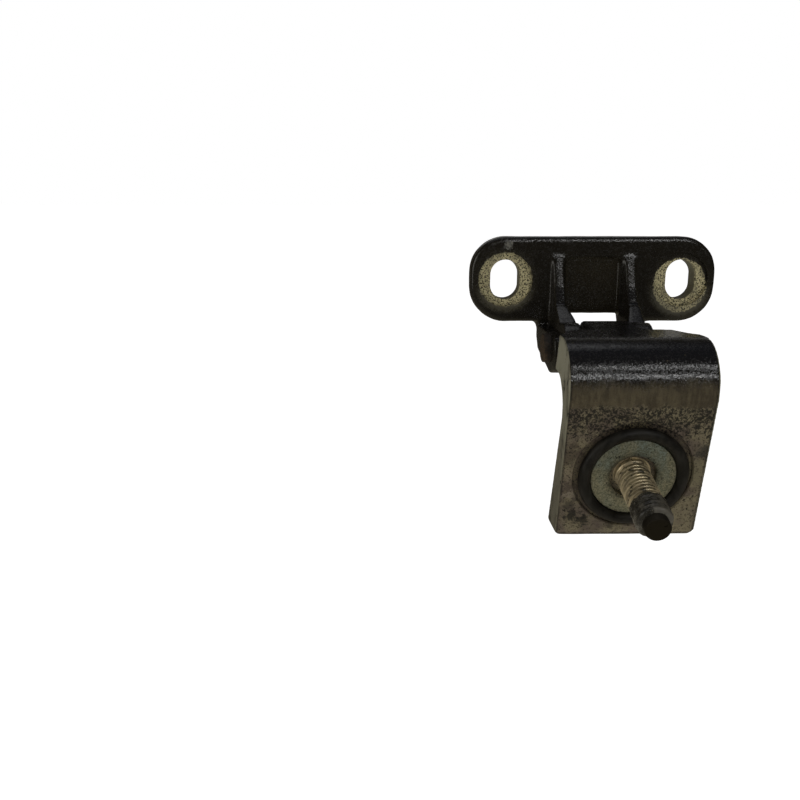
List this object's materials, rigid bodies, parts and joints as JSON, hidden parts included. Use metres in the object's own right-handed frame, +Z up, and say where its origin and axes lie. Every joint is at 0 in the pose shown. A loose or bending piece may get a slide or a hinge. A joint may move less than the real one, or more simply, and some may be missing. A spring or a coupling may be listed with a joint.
{
  "type": "hatch hinge",
  "caption": "Surface-mounted hatch hinge: slotted cast bracket with two ears, riveted pin, and a gooseneck leaf carrying a threaded stud with sealing ring and clamp disc.",
  "frame": {"origin": "centre of the mounting plate's back face", "axes": "+X along the pin, -Y away from the mounting surface, +Z up, with the leaf closed"},
  "size_m": [0.0698, 0.0775, 0.0713],
  "materials": {
    "black_paint": "gloss black paint over a rough casting, worn to bare metal at the slots",
    "worn_leaf": "gloss black paint on the bend, worn through to dull bare steel on the flat",
    "pin_steel": "rusty riveted steel",
    "bush_bronze": "dull bearing bronze",
    "seal_rubber": "matt black rubber",
    "plated_disc": "dull zinc-plated steel, slightly grained",
    "stud_steel": "yellow-passivated steel thread, worn",
    "thread_compound": "dried black thread-locking compound, lumpy and half gloss"
  },
  "bodies": {
    "bracket": {"mounting_bracket": "black_paint", "hinge_pin": "pin_steel"},
    "leaf": {"hinge_leaf": "worn_leaf", "bush_left": "bush_bronze", "bush_right": "bush_bronze", "seal_ring": "seal_rubber", "clamp_disc": "plated_disc", "glass_stud": "stud_steel", "thread_coating": "thread_compound"}
  },
  "joints": [
    {"name": "leaf_pivot", "type": "hinge", "parent": "bracket", "child": "leaf", "pos_m": [0, -0.0227, -0.0168], "axis": [-1, 0, 0], "range_deg": [0, 90]}
  ]
}
